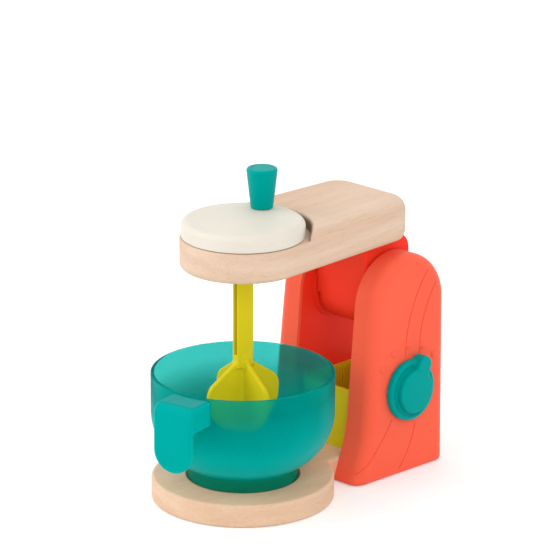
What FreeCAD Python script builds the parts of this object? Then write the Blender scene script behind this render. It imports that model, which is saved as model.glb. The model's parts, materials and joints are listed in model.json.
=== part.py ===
import FreeCAD
import Part
import math
import os

# Toy stand mixer, in millimetres. The origin is on the floor, under the mixing axis.
# +Z is up, the bowl side faces -Y, and the dial is on the +X side.

# Running and seating gaps
pin_gap = 0.05
seat_gap = 0.3
fit_gap = 0.1

# Base board: a disc under the bowl with a neck that runs back between the columns
base_radius = 57.5
base_thickness = 14.6
base_top_edge = 2.0
base_bottom_edge = 1.5
neck_blend = 6.0
recess_radius = 35.5
recess_depth = 5.0
recess_edge = 1.0

# Columns: two hollow pods that stand on the floor, one on each side of the hinge
column_gap = 48.0
column_toe_tuck = 0.3
column_knee_step = 11.7
column_knee_z = 29.9
column_knee_bend = 14.0
column_depth = 81.7
column_thickness = 20.2
column_lean = 1.4
column_toe_out = 1.8
column_edge = 8.0
column_foot_edge = 2.0
column_wall = 2.6
cover_thickness = 3.0

# Hinge between the columns and the head
pivot_setback = 51.1
pivot_z = 110.2
arch_radius = 32.4
pin_radius = 3.0
hinge_half_width = 21.4
hinge_radius = 20.0
hinge_rear_edge = 12.0
hinge_cap_edge = 5.0
hinge_wall = 3.0
hinge_boss_radius = 6.5
boss_ring_radius = 21.5
pin_cup_radius = 6.0
pin_cup_wall = 2.0
head_tilt_limit = 60.0
stop_radius = 14.0
stop_peg_radius = 2.5
stop_peg_angle = 160.0
stop_peg_length = 3.4
stop_gap = 0.3
pin_seat_depth = 8.0
hinge_front_edge = 1.5
hinge_roof = 4.0
hinge_rib_x = 7.0
hinge_screw_y = 11.0
hinge_screw_length = 13.0
hinge_screw_drop = 11.5
head_screw_x = 13.0
head_screw_y = [-10.5, 3.5]

# Head: a wooden board with a low round front that carries the crank disc
head_bottom = 151.2
head_ledge = 170.8
head_top = 178.4
head_front_radius = 39.4
head_rear_half_width = 32.2
head_rear_overhang = 12.3
head_rear_corner = 16.0
head_top_edge = 5.5
head_bottom_edge = 2.5
head_step_radius = 43.6
head_step_corner = 3.0

# Crank disc, its spindle and the knob
disc_radius = 38.6
disc_thickness = 10.5
disc_top_edge = 4.0
disc_bottom_edge = 0.8
knob_orbit = 27.1
knob_angle = 109.4
knob_bottom_radius = 7.0
knob_top_radius = 9.9
knob_height = 25.6
knob_top_edge = 1.5
knob_bottom_edge = 0.8
knob_pin_radius = 2.5
knob_pin_head_radius = 5.0
knob_pin_head_height = 2.2
knob_cap_radius = 6.6
knob_cap_thickness = 2.4
knob_well_depth = 8.0
knob_clip_radius = 4.6
knob_clip_thickness = 1.0
knob_pin_tail = 1.5
knob_cap_edge = 0.5
spindle_radius = 8.0
spindle_collar_radius = 12.5
spindle_collar_height = 2.6
spindle_boss_side = 11.0
spindle_boss_height = 3.6
spindle_boss_corner = 1.0
bush_radius = 11.0
bush_flange_radius = 14.0
bush_flange_thickness = 1.6
bush_length = 7.0
washer_thickness = 1.0
washer_radius = 18.0
socket_side = 7.4
socket_depth = 12.5
socket_corner = 0.6
disc_screw_radius = 2.0
disc_screw_head_radius = 3.4
disc_screw_head_height = 2.0
disc_screw_length = 9.0
disc_screw_slot_width = 1.0

# Beater: a double-T shaft with four flat blades
beater_turn = 9.7
beater_shaft_width = 11.7
beater_shaft_depth = 5.5
beater_flange = 1.4
beater_web = 2.4
beater_blade_radius = 27.0
beater_blade_thickness = 2.5
beater_bottom = 43.0
beater_shoulder = 74.8
beater_neck = 93.2
beater_side_bottom = 62.7
beater_shoulder_edge = 3.0
beater_channel_foot = 0.8
beater_shaft_overlap = 6.0
beater_pull = 10.0

# Bowl with its integral handle
bowl_overhang = 0.2
bowl_rim = 82.8
bowl_wall = 2.2
bowl_rim_edge = 0.7
bowl_curve_radius = 38.3
bowl_foot_wall = 2.2
bowl_curve_centre_z = 57.5
bowl_lift = 8.0
handle_angle = 11.3
handle_width = 27.6
handle_gap = 16.5
handle_thickness = 4.6
handle_bottom = 38.8
handle_bend = 7.0
handle_inner_bend = 2.5
handle_edge = 1.8
handle_arm_depth = 16.5
handle_arm_skin = 2.4
handle_drop_below_rim = 0.8

# Storage bin between the columns
bin_setback = 18.2
bin_front_slope = 2.0
bin_depth = 57.6
bin_top = 54.2
bin_wall = 2.0
bin_side_gap = 0.4
bin_corner = 3.0
bin_rib_pitch = 2.6
bin_rib_width = 1.1
bin_rib_height = 0.5

# Dial on the right column, with five click positions
dial_setback = 47.8
dial_z = 55.2
dial_radius = 20.0
dial_flange_height = 4.5
dial_boss_radius = 14.0
dial_boss_height = 9.0
dial_edge = 1.6
dial_tab_width = 11.4
dial_tab_height = 7.8
dial_tab_reach = 23.6
dial_stub_radius = 5.0
dial_dot_orbit = 29.4
dial_dot_radius = 2.0
dial_dot_height = 0.9
dial_dot_count = 5
dial_dot_step = 26.0
dial_rest_dot = 3
dial_wheel_radius = 10.0
dial_wheel_thickness = 3.0
dial_notch_radius = 1.2
dial_screw_radius = 1.5
dial_screw_head_radius = 4.0
dial_screw_head_height = 1.8
dial_screw_length = 8.0
leaf_thickness = 1.2
leaf_width = 3.0
leaf_length = 13.0
leaf_base_size = 7.0
leaf_tip_radius = 1.2
leaf_angle = -90.0
leaf_screw_bite = 1.6

# Styling grooves on the right column, each an arc through three points given as (y past the pivot, z)
groove_width = 0.8
groove_depth = 0.5
grooves = [
    [(-6.0, 77.0), (-2.8, 98.0), (14.8, 130.9)],
    [(6.8, 76.5), (10.0, 98.0), (22.6, 121.6)],
    [(-18.3, 38.3), (-33.5, 19.5), (-47.5, 7.4)],
    [(2.7, 31.6), (-2.0, 18.6), (-12.3, 3.5)],
]

# Screws
wall_bite = 0.8
wood_screw_radius = 1.75
wood_screw_head_radius = 3.4
wood_screw_length = 16.0
case_screw_radius = 1.4
case_screw_head_radius = 2.8
case_screw_length = 12.0
screw_boss_radius = 3.8
screw_head_height = 1.6
case_screw_spots = [(-28.3, 34.0), (18.7, 30.0), (20.7, 92.0)]
base_screw_spots = [-20.3, 15.7]
bin_screw_spots = [-18.3, 11.7]

# Reach of helper solids past the part, reach of cutters past a face, and the slack when edges are picked
far = 400.0
margin = 1.0
tolerance = 1e-3

# Places that follow from the sizes above
column_inner_x = column_gap / 2
column_toe_y = base_radius - column_toe_tuck
column_knee_y = column_toe_y + column_knee_step
column_heel_y = column_toe_y + column_depth
pivot_y = column_toe_y + pivot_setback
head_rear_y = pivot_y + head_rear_overhang
bowl_radius = base_radius + bowl_overhang
handle_reach = bowl_radius + handle_gap + handle_thickness
handle_inner_x = bowl_radius + handle_gap
handle_root_x = math.sqrt(bowl_radius ** 2 - (handle_width / 2) ** 2) - bowl_wall / 2
handle_arm_top = bowl_rim - handle_drop_below_rim
handle_arm_under = handle_arm_top - handle_arm_depth
bin_front_y = column_toe_y + bin_setback
bin_rear_y = bin_front_y + bin_depth
dial_y = column_toe_y + dial_setback
case_screw_places = [(pivot_y + shift, z) for shift, z in case_screw_spots]
base_screw_places = [(pivot_y + shift, base_thickness / 2) for shift in base_screw_spots]
bin_screw_y = [pivot_y + shift for shift in bin_screw_spots]


def vec(x, y, z):
    return FreeCAD.Vector(x, y, z)


def save(shape, name):
    shape.removeSplitter().exportStep("parts/" + name + ".step")


def rod(radius, start, end):
    axis = end.sub(start)
    return Part.makeCylinder(radius, axis.Length, start, axis)


def cone(start_radius, end_radius, start, end):
    axis = end.sub(start)
    return Part.makeCone(start_radius, end_radius, axis.Length, start, axis)


def block(low, high):
    size = high.sub(low)
    return Part.makeBox(size.x, size.y, size.z, low)


def fuse(shapes):
    return shapes[0].multiFuse(shapes[1:])


def polygon_face(points):
    return Part.Face(Part.makePolygon(points + [points[0]]))


def mirrored(shape):
    return shape.mirror(vec(0, 0, 0), vec(1, 0, 0))


def turned(shape, angle):
    copy = shape.copy()
    copy.rotate(vec(0, 0, 0), vec(0, 0, 1), angle)
    return copy


def polar(radius, angle, z):
    return vec(radius * math.cos(math.radians(angle)), radius * math.sin(math.radians(angle)), z)


def extent(edge, axis):
    box = edge.BoundBox
    return {"x": (box.XMin, box.XMax), "y": (box.YMin, box.YMax), "z": (box.ZMin, box.ZMax)}[axis]


def edges_on(shape, axis, place):
    # Edges that lie wholly in the plane where the axis has this value
    return [edge for edge in shape.Edges
            if all(abs(end - place) < tolerance for end in extent(edge, axis))]


def upright_edges(shape, low_z, high_z):
    return [edge for edge in shape.Edges
            if abs(edge.BoundBox.ZMin - low_z) < tolerance and abs(edge.BoundBox.ZMax - high_z) < tolerance]


def screw(shank_radius, head_radius, length, top, direction):
    # A countersunk screw: its flat head lies at top and its shank runs along the unit direction
    head_end = top.add(direction * screw_head_height)
    tip = top.add(direction * length)
    return rod(shank_radius, top, tip).fuse(cone(head_radius, shank_radius, top, head_end))


# Column outline, in the plane x = inner face

def circle_tangent_point(point, centre, radius, side):
    # Where the line from point touches the circle, in (y, z); side picks which of the two
    dy = point[0] - centre[0]
    dz = point[1] - centre[1]
    distance = math.hypot(dy, dz)
    angle = math.atan2(dz, dy) + side * math.acos(radius / distance)
    return (centre[0] + radius * math.cos(angle), centre[1] + radius * math.sin(angle))


def toward(start, end, reach):
    length = math.hypot(end[0] - start[0], end[1] - start[1])
    return (start[0] + (end[0] - start[0]) * reach / length, start[1] + (end[1] - start[1]) * reach / length)


def column_wire(x):
    # Straight toe and front edges with a bend at the knee, then the round top and the rear edge
    centre = (pivot_y, pivot_z)
    crown = (pivot_y, pivot_z + arch_radius)
    toe = (column_toe_y, 0.0)
    knee = (column_knee_y, column_knee_z)
    heel = (column_heel_y, 0.0)
    front = circle_tangent_point(knee, centre, arch_radius, -1)
    rear = circle_tangent_point(heel, centre, arch_radius, 1)
    bend_start = toward(knee, toe, column_knee_bend)
    bend_end = toward(knee, front, column_knee_bend)
    half_turn = 0.5 * (math.atan2(bend_end[0] - knee[0], bend_end[1] - knee[1])
                       - math.atan2(knee[0] - bend_start[0], knee[1] - bend_start[1]))
    chord_middle = (0.5 * (bend_start[0] + bend_end[0]), 0.5 * (bend_start[1] + bend_end[1]))
    sagitta = math.hypot(chord_middle[0] - knee[0], chord_middle[1] - knee[1]) / (1 + math.cos(half_turn))
    bend_middle = toward(knee, chord_middle, sagitta)

    def line(start, end):
        return Part.LineSegment(vec(x, *start), vec(x, *end)).toShape()

    def arc(start, middle, end):
        return Part.Arc(vec(x, *start), vec(x, *middle), vec(x, *end)).toShape()

    return Part.Wire([
        line(toe, bend_start),
        arc(bend_start, bend_middle, bend_end),
        line(bend_end, front),
        arc(front, crown, rear),
        line(rear, heel),
        line(heel, toe),
    ])


def column_face(inset, x):
    face = Part.Face(column_wire(x))
    if inset > 0:
        face = face.makeOffset2D(-inset)
    return face


# The outer face of a column leans in as it rises and spreads towards the rear

face_normal = vec(math.cos(math.radians(column_lean)) * math.cos(math.radians(column_toe_out)),
                  -math.cos(math.radians(column_lean)) * math.sin(math.radians(column_toe_out)),
                  math.sin(math.radians(column_lean)))
dial_centre = vec(column_inner_x + column_thickness, dial_y, dial_z)
dial_frame = FreeCAD.Placement(dial_centre, FreeCAD.Rotation(vec(1, 0, 0), face_normal))


def in_dial_frame(shape):
    copy = shape.copy()
    copy.Placement = dial_frame.multiply(copy.Placement)
    return copy


def column_pod(inset, start_x):
    outer = in_dial_frame(block(vec(-far, -far, -far), vec(-inset, far, far)))
    body = column_face(inset, start_x).extrude(vec(far / 2, 0, 0)).common(outer)
    rim = []
    for edge in body.Edges:
        middle = edge.valueAt(0.5 * (edge.FirstParameter + edge.LastParameter))
        depth = middle.sub(dial_centre).dot(face_normal) + inset
        if abs(depth) < tolerance and edge.BoundBox.ZMax > inset + margin:
            rim.append(edge)
    return body.makeFillet(column_edge - inset, rim)


def rounded_foot(pod):
    foot = [edge for edge in edges_on(pod, "z", 0) if edge.BoundBox.XMax > column_inner_x + margin]
    return pod.makeFillet(column_foot_edge, foot)


def outer_shell(details):
    pod = rounded_foot(column_pod(0, column_inner_x))
    inside = column_pod(column_wall, column_inner_x)
    shell = pod.cut(inside)
    # Screw bosses run from the wall to the back of the inner cover
    boss_start = column_inner_x + cover_thickness
    for y, z in case_screw_places:
        boss = rod(screw_boss_radius, vec(boss_start, y, z), vec(far / 4, y, z))
        shell = shell.fuse(boss.common(column_pod(column_wall / 2, column_inner_x)))
    for y, z in case_screw_places:
        tip_x = column_inner_x + case_screw_length + seat_gap
        shell = shell.cut(rod(case_screw_radius, vec(boss_start - margin, y, z), vec(tip_x, y, z)))
    if details:
        shell = add_dial_features(shell)
    return shell


def groove_cutter(points):
    # A thin curved band along X, kept only within the skin of the column
    first, second, third = [vec(0, pivot_y + shift, z) for shift, z in points]
    centre = Part.Arc(first, second, third).toShape().Curve.Center
    half = groove_width / 2

    def at(point, shift):
        radial = point.sub(centre)
        return centre.add(radial.multiply((radial.Length + shift) / radial.Length))

    outer = [at(point, half) for point in (first, second, third)]
    inner = [at(point, -half) for point in (third, second, first)]
    wire = Part.Wire([
        Part.Arc(outer[0], outer[1], outer[2]).toShape(),
        Part.LineSegment(outer[2], inner[0]).toShape(),
        Part.Arc(inner[0], inner[1], inner[2]).toShape(),
        Part.LineSegment(inner[2], outer[0]).toShape(),
    ])
    band = Part.Face(wire).extrude(vec(far / 4, 0, 0))
    return band.cut(column_pod(groove_depth, column_inner_x))


def leaf_strip_top():
    return -dial_wheel_radius - seat_gap - 2 * leaf_tip_radius


def leaf_screw_place():
    return -leaf_length - leaf_base_size / 2, leaf_strip_top()


def dot_angle(index):
    return (index - (dial_dot_count - 1) / 2) * dial_dot_step


def add_dial_features(shell):
    for points in grooves:
        shell = shell.cut(groove_cutter(points))
    # Five low domes mark the dial's positions
    sphere_radius = (dial_dot_radius ** 2 + dial_dot_height ** 2) / (2 * dial_dot_height)
    outside = in_dial_frame(block(vec(-column_wall / 2, -far, -far), vec(far, far, far)))
    for index in range(dial_dot_count):
        angle = math.radians(dot_angle(index))
        centre = vec(dial_dot_height - sphere_radius,
                     dial_dot_orbit * math.sin(angle), dial_dot_orbit * math.cos(angle))
        dome = in_dial_frame(Part.makeSphere(sphere_radius, centre))
        shell = shell.fuse(dome.common(outside))
    bore = rod(dial_stub_radius + pin_gap, vec(-column_wall - margin, 0, 0), vec(1, 0, 0))
    foot_y, foot_z = leaf_screw_place()
    pilot = rod(case_screw_radius, vec(-column_wall - margin, foot_y, foot_z),
                vec(leaf_screw_bite - column_wall, foot_y, foot_z))
    return shell.cut(in_dial_frame(bore.fuse(pilot)))


def inner_cover():
    inset = column_wall + fit_gap
    x = column_inner_x
    plate = column_face(inset, x).extrude(vec(cover_thickness, 0, 0))
    axis_x = x - hinge_gap
    ring = rod(boss_ring_radius, vec(axis_x, pivot_y, pivot_z), vec(x + margin, pivot_y, pivot_z))
    cup_end = x + pin_seat_depth + pin_cup_wall
    cup = rod(pin_cup_radius, vec(x, pivot_y, pivot_z), vec(cup_end, pivot_y, pivot_z))
    cover = fuse([plate, ring, cup])
    pin_end = x + pin_seat_depth
    cover = cover.cut(rod(pin_radius, vec(axis_x - margin, pivot_y, pivot_z), vec(pin_end, pivot_y, pivot_z)))
    cover = cover.cut(stop_slot(axis_x))
    back_x = x + cover_thickness
    for y, z in case_screw_places:
        head = vec(x, y, z)
        cover = cover.cut(rod(case_screw_radius, vec(x - margin, y, z), vec(back_x + margin, y, z)))
        cover = cover.cut(cone(case_screw_head_radius, case_screw_radius, head,
                               vec(x + screw_head_height, y, z)))
    for y, z in base_screw_places:
        cover = cover.cut(rod(wood_screw_radius, vec(x - margin, y, z), vec(back_x + margin, y, z)))
        cover = cover.cut(cone(wood_screw_radius, wood_screw_head_radius,
                               vec(back_x - screw_head_height, y, z), vec(back_x, y, z)))
    return cover


# Hinge places

hinge_gap = column_inner_x - hinge_half_width - seat_gap
hinge_screw_x = hinge_half_width - hinge_wall - screw_boss_radius + wall_bite
hinge_screw_head_z = pivot_z - hinge_screw_drop
hinge_screw_places = [(side * hinge_screw_x, pivot_y + shift)
                      for side in (-1, 1) for shift in (-hinge_screw_y, hinge_screw_y)]
head_screw_places = [(side * head_screw_x, pivot_y + shift) for side in (-1, 1) for shift in head_screw_y]


def around_pivot(radius, angle, x):
    return vec(x, pivot_y + radius * math.cos(math.radians(angle)),
               pivot_z + radius * math.sin(math.radians(angle)))


def stop_slot(start_x):
    # A blind arc slot that lets the stop peg swing through the head's range and no further
    end_x = hinge_half_width + stop_peg_length + seat_gap
    half = stop_peg_radius + stop_gap
    last = stop_peg_angle - head_tilt_limit
    mouth_x = start_x - margin
    ends = [rod(half, around_pivot(stop_radius, angle, mouth_x), around_pivot(stop_radius, angle, end_x))
            for angle in (stop_peg_angle, last)]
    hub_start = vec(mouth_x, pivot_y, pivot_z)
    hub_end = vec(end_x, pivot_y, pivot_z)
    ring = rod(stop_radius + half, hub_start, hub_end).cut(rod(stop_radius - half, hub_start, hub_end))
    wedge_radius = 2 * hinge_radius
    corners = [hub_start] + [around_pivot(wedge_radius, angle, mouth_x)
                             for angle in (stop_peg_angle, (stop_peg_angle + last) / 2, last)]
    wedge = polygon_face(corners).extrude(vec(end_x - mouth_x, 0, 0))
    return fuse([ring.common(wedge)] + ends)


def hinge_blank():
    # The whole hinge block: straight sides up to the head, round below the pivot
    low_x = -hinge_half_width
    width = vec(2 * hinge_half_width, 0, 0)
    upper = block(vec(low_x, pivot_y - hinge_radius, pivot_z),
                  vec(hinge_half_width, pivot_y + hinge_radius, head_bottom))
    rear_top = [edge for edge in edges_on(upper, "z", head_bottom)
                if abs(edge.BoundBox.YMin - (pivot_y + hinge_radius)) < tolerance]
    upper = upper.makeFillet(hinge_rear_edge, rear_top)
    front_uprights = [edge for edge in upright_edges(upper, pivot_z, head_bottom)
                      if edge.BoundBox.YMax < pivot_y]
    upper = upper.makeFillet(hinge_front_edge, front_uprights)
    lower = rod(hinge_radius, vec(low_x, pivot_y, pivot_z), vec(low_x, pivot_y, pivot_z).add(width))
    lower = lower.common(block(vec(-far, -far, 0), vec(far, far, pivot_z)))
    end_arcs = [edge for side in (-1, 1) for edge in edges_on(lower, "x", side * hinge_half_width)
                if edge.BoundBox.ZMin < pivot_z - margin]
    lower = lower.makeFillet(hinge_cap_edge, end_arcs)
    return upper, lower


def hinge_ribs(low_z, high_z):
    ribs = []
    for x in (-hinge_rib_x, hinge_rib_x):
        ribs.append(block(vec(x - hinge_wall / 2, pivot_y - hinge_radius + margin, low_z),
                          vec(x + hinge_wall / 2, pivot_y + hinge_radius - margin, high_z)))
    return ribs


def pin_bore():
    return rod(pin_radius + pin_gap, vec(-far / 4, pivot_y, pivot_z), vec(far / 4, pivot_y, pivot_z))


def hinge_bracket():
    upper, lower = hinge_blank()
    inner_x = hinge_half_width - hinge_wall
    inner_y = hinge_radius - hinge_wall
    cavity = block(vec(-inner_x, pivot_y - inner_y, pivot_z - margin),
                   vec(inner_x, pivot_y + inner_y, head_bottom - hinge_roof))
    rear_top = [edge for edge in edges_on(cavity, "z", head_bottom - hinge_roof)
                if abs(edge.BoundBox.YMin - (pivot_y + inner_y)) < tolerance]
    cavity = cavity.makeFillet(hinge_rear_edge - hinge_wall, rear_top)
    bosses = []
    boss_top = hinge_screw_head_z + hinge_screw_length + screw_boss_radius
    for x, y in hinge_screw_places:
        bosses.append(rod(screw_boss_radius, vec(x, y, pivot_z), vec(x, y, boss_top)))
    filling = fuse(hinge_ribs(pivot_z, head_bottom - margin) + bosses).common(upper)
    body = fuse([upper.cut(cavity), filling])
    for x, y in hinge_screw_places:
        body = body.cut(rod(case_screw_radius, vec(x, y, pivot_z - margin),
                            vec(x, y, hinge_screw_head_z + hinge_screw_length + seat_gap)))
    for x, y in head_screw_places:
        top = head_bottom
        body = body.cut(rod(wood_screw_radius, vec(x, y, top - hinge_roof - margin), vec(x, y, top + margin)))
        body = body.cut(cone(wood_screw_head_radius, wood_screw_radius, vec(x, y, top - hinge_roof),
                             vec(x, y, top - hinge_roof + screw_head_height)))
    for side in (-1, 1):
        root = around_pivot(stop_radius, stop_peg_angle, side * (hinge_half_width - hinge_wall))
        tip = around_pivot(stop_radius, stop_peg_angle, side * (hinge_half_width + stop_peg_length))
        body = body.fuse(rod(stop_peg_radius, root, tip))
    return body.cut(pin_bore())


def hinge_cap():
    upper, lower = hinge_blank()
    inner_x = hinge_half_width - hinge_wall
    cavity = rod(hinge_radius - hinge_wall, vec(-inner_x, pivot_y, pivot_z), vec(inner_x, pivot_y, pivot_z))
    bosses = []
    for x, y in hinge_screw_places:
        bosses.append(rod(screw_boss_radius, vec(x, y, pivot_z - hinge_radius), vec(x, y, pivot_z)))
    filling = fuse(hinge_ribs(pivot_z - hinge_radius, pivot_z) + bosses).common(lower)
    body = fuse([lower.cut(cavity), filling])
    for x, y in hinge_screw_places:
        well = vec(x, y, hinge_screw_head_z)
        body = body.cut(rod(case_screw_radius, vec(x, y, 0), vec(x, y, pivot_z + margin)))
        body = body.cut(rod(case_screw_head_radius, vec(x, y, pivot_z - hinge_radius - margin), well))
        body = body.cut(cone(case_screw_head_radius, case_screw_radius, well,
                             vec(x, y, hinge_screw_head_z + screw_head_height)))
    return body.cut(pin_bore())


# Base board

def base_board():
    half = column_inner_x - fit_gap
    disc = Part.Face(Part.Wire(Part.makeCircle(base_radius)))
    neck = polygon_face([vec(-half, 0, 0), vec(half, 0, 0), vec(half, column_heel_y - column_wall, 0),
                         vec(-half, column_heel_y - column_wall, 0)])
    body = disc.fuse(neck).removeSplitter().extrude(vec(0, 0, base_thickness))
    inner_corners = [edge for edge in upright_edges(body, 0, base_thickness)
                     if abs(abs(edge.BoundBox.XMin) - half) < tolerance and edge.BoundBox.YMin < base_radius]
    body = body.makeFillet(neck_blend, inner_corners)
    body = body.makeFillet(base_top_edge, edges_on(body, "z", base_thickness))
    body = body.makeFillet(base_bottom_edge, edges_on(body, "z", 0))
    recess_floor = base_thickness - recess_depth
    body = body.cut(rod(recess_radius, vec(0, 0, recess_floor), vec(0, 0, base_thickness + margin)))
    body = body.makeFillet(recess_edge, edges_on(body, "z", recess_floor))
    for side in (-1, 1):
        for y, z in base_screw_places:
            start = vec(side * (column_inner_x + cover_thickness), y, z)
            tip = vec(start.x - side * (wood_screw_length + seat_gap), y, z)
            body = body.cut(rod(wood_screw_radius, start, tip))
    for y in bin_screw_y:
        body = body.cut(rod(case_screw_radius, vec(0, y, base_thickness + margin),
                            vec(0, y, bin_floor_top - case_screw_length - seat_gap)))
    return body


# Storage bin

bin_floor_top = base_thickness + bin_wall


def bin_solid(inset, floor_z, top_z):
    half = column_inner_x - bin_side_gap - inset
    rise = bin_top - base_thickness
    front_low = bin_front_y + inset + bin_front_slope * (floor_z - base_thickness) / rise
    front_high = bin_front_y + inset + bin_front_slope * (top_z - base_thickness) / rise
    side = polygon_face([vec(-half, front_low, floor_z), vec(-half, bin_rear_y - inset, floor_z),
                         vec(-half, bin_rear_y - inset, top_z), vec(-half, front_high, top_z)])
    body = side.extrude(vec(2 * half, 0, 0))
    return body.makeFillet(bin_corner - inset / 2, upright_edges(body, floor_z, top_z))


def storage_bin():
    body = bin_solid(0, base_thickness, bin_top)
    body = body.cut(bin_solid(bin_wall, bin_floor_top, bin_top + margin))
    half = column_inner_x - bin_side_gap - bin_wall
    rib_top = bin_top - bin_wall
    # Fine upright ribs line the side walls and the rear wall
    ribs = []
    first_y = bin_front_y + bin_wall + bin_front_slope + bin_corner
    count = int((bin_rear_y - bin_wall - bin_corner - first_y) / bin_rib_pitch) + 1
    for index in range(count):
        y = first_y + index * bin_rib_pitch
        right_rib = block(vec(half - bin_rib_height, y, bin_floor_top), vec(half, y + bin_rib_width, rib_top))
        ribs += [right_rib, mirrored(right_rib)]
    across = int((half - bin_corner) / bin_rib_pitch)
    for index in range(-across, across + 1):
        x = index * bin_rib_pitch
        rear = bin_rear_y - bin_wall
        ribs.append(block(vec(x - bin_rib_width / 2, rear - bin_rib_height, bin_floor_top),
                          vec(x + bin_rib_width / 2, rear, rib_top)))
    body = body.multiFuse(ribs)
    for y in bin_screw_y:
        body = body.cut(rod(case_screw_radius, vec(0, y, 0), vec(0, y, bin_floor_top + margin)))
        body = body.cut(cone(case_screw_radius, case_screw_head_radius,
                             vec(0, y, bin_floor_top - screw_head_height), vec(0, y, bin_floor_top)))
    return body


# Head board

spindle_top = head_ledge + seat_gap
disc_bottom = head_ledge + seat_gap
disc_top = disc_bottom + disc_thickness


def head_outline():
    # The front arc and the straight sides that narrow towards the rear
    slope = math.asin((head_front_radius - head_rear_half_width) / (head_rear_y + head_front_radius))
    touch = vec(head_front_radius * math.cos(slope), head_front_radius * math.sin(slope), 0)
    direction = vec(-math.sin(slope), math.cos(slope), 0)
    reach = (head_rear_y - touch.y) / direction.y
    rear = touch.add(direction.multiply(reach))
    left_touch = vec(-touch.x, touch.y, 0)
    left_rear = vec(-rear.x, rear.y, 0)
    wire = Part.Wire([
        Part.Arc(left_touch, vec(0, -head_front_radius, 0), touch).toShape(),
        Part.LineSegment(touch, rear).toShape(),
        Part.LineSegment(rear, left_rear).toShape(),
        Part.LineSegment(left_rear, left_touch).toShape(),
    ])
    return Part.Face(wire)


def head_board():
    body = head_outline().extrude(vec(0, 0, head_top - head_bottom))
    body.translate(vec(0, 0, head_bottom))
    rear_corners = [edge for edge in upright_edges(body, head_bottom, head_top)
                    if abs(edge.BoundBox.YMax - head_rear_y) < tolerance]
    body = body.makeFillet(head_rear_corner, rear_corners)
    step = rod(head_step_radius, vec(0, 0, head_ledge), vec(0, 0, head_top + margin))
    front = block(vec(-far, -far, head_ledge), vec(far, 0, head_top + margin))
    body = body.cut(step).cut(front)
    body = body.makeFillet(head_step_corner, upright_edges(body, head_ledge, head_top))
    top_edges = [edge for edge in edges_on(body, "z", head_top)
                 if edge.BoundBox.YMax > head_step_radius + margin]
    body = body.makeFillet(head_top_edge, top_edges)
    body = body.makeFillet(head_bottom_edge, edges_on(body, "z", head_bottom))
    upper_flange_z = head_ledge - washer_thickness - bush_flange_thickness
    lower_flange_z = head_bottom + spindle_collar_height + seat_gap + bush_flange_thickness
    cuts = [
        rod(bush_radius, vec(0, 0, head_bottom - margin), vec(0, 0, head_top + margin)),
        rod(washer_radius + fit_gap, vec(0, 0, head_ledge - washer_thickness), vec(0, 0, head_top)),
        rod(bush_flange_radius, vec(0, 0, upper_flange_z), vec(0, 0, head_top)),
        rod(bush_flange_radius, vec(0, 0, head_bottom - margin), vec(0, 0, lower_flange_z)),
    ]
    for x, y in head_screw_places:
        tip = head_bottom - hinge_roof + wood_screw_length + seat_gap
        cuts.append(rod(wood_screw_radius, vec(x, y, head_bottom - margin), vec(x, y, tip)))
    return body.cut(fuse(cuts[:4])).cut(fuse(cuts[4:]))


def bush(flange_low, flange_high, sleeve_end):
    body = rod(bush_flange_radius, vec(0, 0, flange_low), vec(0, 0, flange_high))
    start = flange_low if sleeve_end > flange_high else flange_high
    body = body.fuse(rod(bush_radius, vec(0, 0, start), vec(0, 0, sleeve_end)))
    low = min(flange_low, sleeve_end) - margin
    high = max(flange_high, sleeve_end) + margin
    return body.cut(rod(spindle_radius + pin_gap, vec(0, 0, low), vec(0, 0, high)))


# Spindle and crank

def square_bar(side, low_z, high_z, corner):
    half = side / 2
    bar = block(vec(-half, -half, low_z), vec(half, half, high_z))
    return turned(bar.makeFillet(corner, upright_edges(bar, low_z, high_z)), -beater_turn)


def spindle():
    collar_top = head_bottom + spindle_collar_height
    boss_top = spindle_top + spindle_boss_height
    body = fuse([
        rod(spindle_collar_radius, vec(0, 0, head_bottom), vec(0, 0, collar_top)),
        rod(spindle_radius, vec(0, 0, head_bottom), vec(0, 0, spindle_top)),
        square_bar(spindle_boss_side, spindle_top - margin, boss_top, spindle_boss_corner),
    ])
    socket_top = head_bottom + socket_depth
    body = body.cut(square_bar(socket_side, head_bottom - margin, socket_top, socket_corner))
    head_z = socket_top
    body = body.cut(rod(disc_screw_head_radius, vec(0, 0, head_z - margin),
                        vec(0, 0, head_z + disc_screw_head_height)))
    return body.cut(rod(disc_screw_radius, vec(0, 0, head_z), vec(0, 0, disc_top)))


def disc_screw():
    seat = head_bottom + socket_depth + disc_screw_head_height
    head = rod(disc_screw_head_radius, vec(0, 0, seat - disc_screw_head_height), vec(0, 0, seat))
    slot_depth = disc_screw_head_height / 2
    half_slot = disc_screw_slot_width / 2
    slot_end = seat - disc_screw_head_height + slot_depth
    slot = block(vec(-far, -half_slot, seat - far), vec(far, half_slot, slot_end))
    shank = rod(disc_screw_radius, vec(0, 0, seat), vec(0, 0, spindle_top + disc_screw_length))
    return head.cut(slot).fuse(shank)


def crank_disc():
    body = rod(disc_radius, vec(0, 0, disc_bottom), vec(0, 0, disc_top))
    body = body.makeFillet(disc_top_edge, edges_on(body, "z", disc_top))
    body = body.makeFillet(disc_bottom_edge, edges_on(body, "z", disc_bottom))
    body = body.cut(square_bar(spindle_boss_side, disc_bottom - margin, disc_bottom + spindle_boss_height,
                               spindle_boss_corner))
    body = body.cut(rod(disc_screw_radius, vec(0, 0, disc_bottom),
                        vec(0, 0, spindle_top + disc_screw_length)))
    centre = knob_centre(disc_bottom)
    body = body.cut(rod(knob_pin_head_radius, knob_centre(disc_bottom - margin),
                        knob_centre(disc_bottom + knob_pin_head_height)))
    return body.cut(rod(knob_pin_radius, centre, knob_centre(disc_top + margin)))


def knob_centre(z):
    return polar(knob_orbit, knob_angle, z)


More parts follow.
